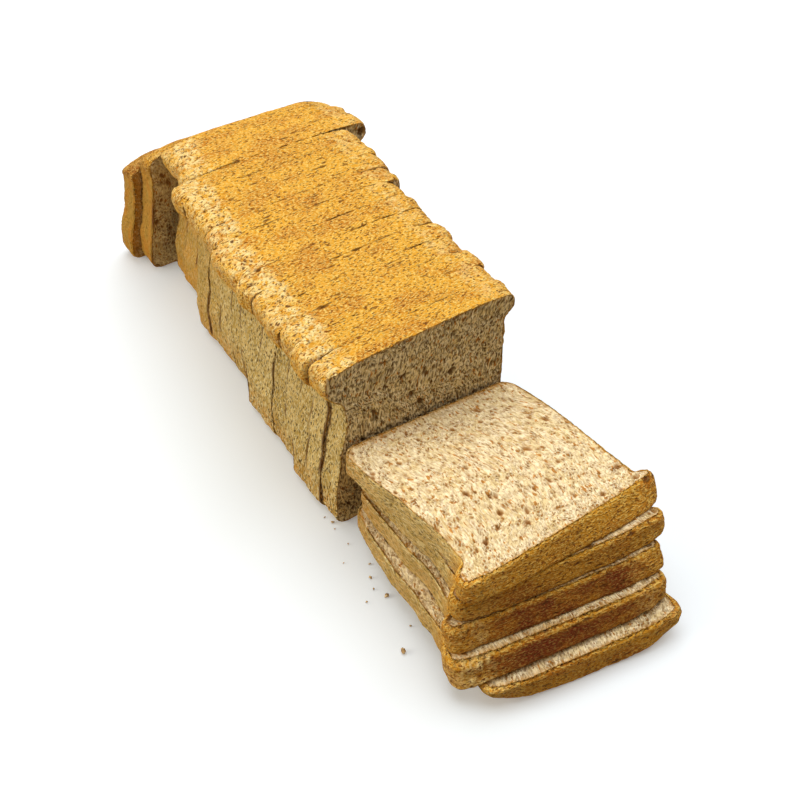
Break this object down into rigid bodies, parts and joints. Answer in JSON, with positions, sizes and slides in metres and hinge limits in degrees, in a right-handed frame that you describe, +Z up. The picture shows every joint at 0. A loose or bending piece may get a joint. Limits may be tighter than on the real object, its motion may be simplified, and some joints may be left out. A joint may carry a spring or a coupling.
{
  "type": "whole wheat sandwich bread loaf",
  "caption": "Sliced whole wheat sandwich loaf: a standing row of slices in loaf order, with a few front slices toppled flat in a stepped pile over the loaf's heel.",
  "frame": {"origin": "centre of the whole part's box, on the surface it stands on", "axes": "+Z up; +Y back along the row, from the toppled pile to the far end of the loaf; +X to the right when looking along the row"},
  "size_m": [0.151, 0.4364, 0.1153],
  "materials": {
    "whole_wheat_bread": "soft open whole wheat crumb with bran flecks and a thin golden brown crust round the edge",
    "whole_wheat_heel": "baked golden brown end crust over whole wheat crumb"
  },
  "bodies": {
    "root": {"row_slice_01": "whole_wheat_bread", "row_slice_02": "whole_wheat_bread", "row_slice_03": "whole_wheat_bread", "row_slice_04": "whole_wheat_bread", "row_slice_05": "whole_wheat_bread", "row_slice_06": "whole_wheat_bread", "row_slice_07": "whole_wheat_bread", "row_slice_08": "whole_wheat_bread", "row_slice_09": "whole_wheat_bread", "row_slice_10": "whole_wheat_bread", "row_slice_11": "whole_wheat_bread", "row_slice_12": "whole_wheat_bread", "row_slice_13": "whole_wheat_bread", "row_slice_14": "whole_wheat_bread", "row_slice_15": "whole_wheat_bread", "end_slice": "whole_wheat_bread", "pile_slice_01": "whole_wheat_bread", "pile_slice_02": "whole_wheat_bread", "pile_slice_03": "whole_wheat_bread", "pile_slice_04": "whole_wheat_bread", "end_heel": "whole_wheat_heel", "pile_heel": "whole_wheat_heel"}
  },
  "joints": []
}
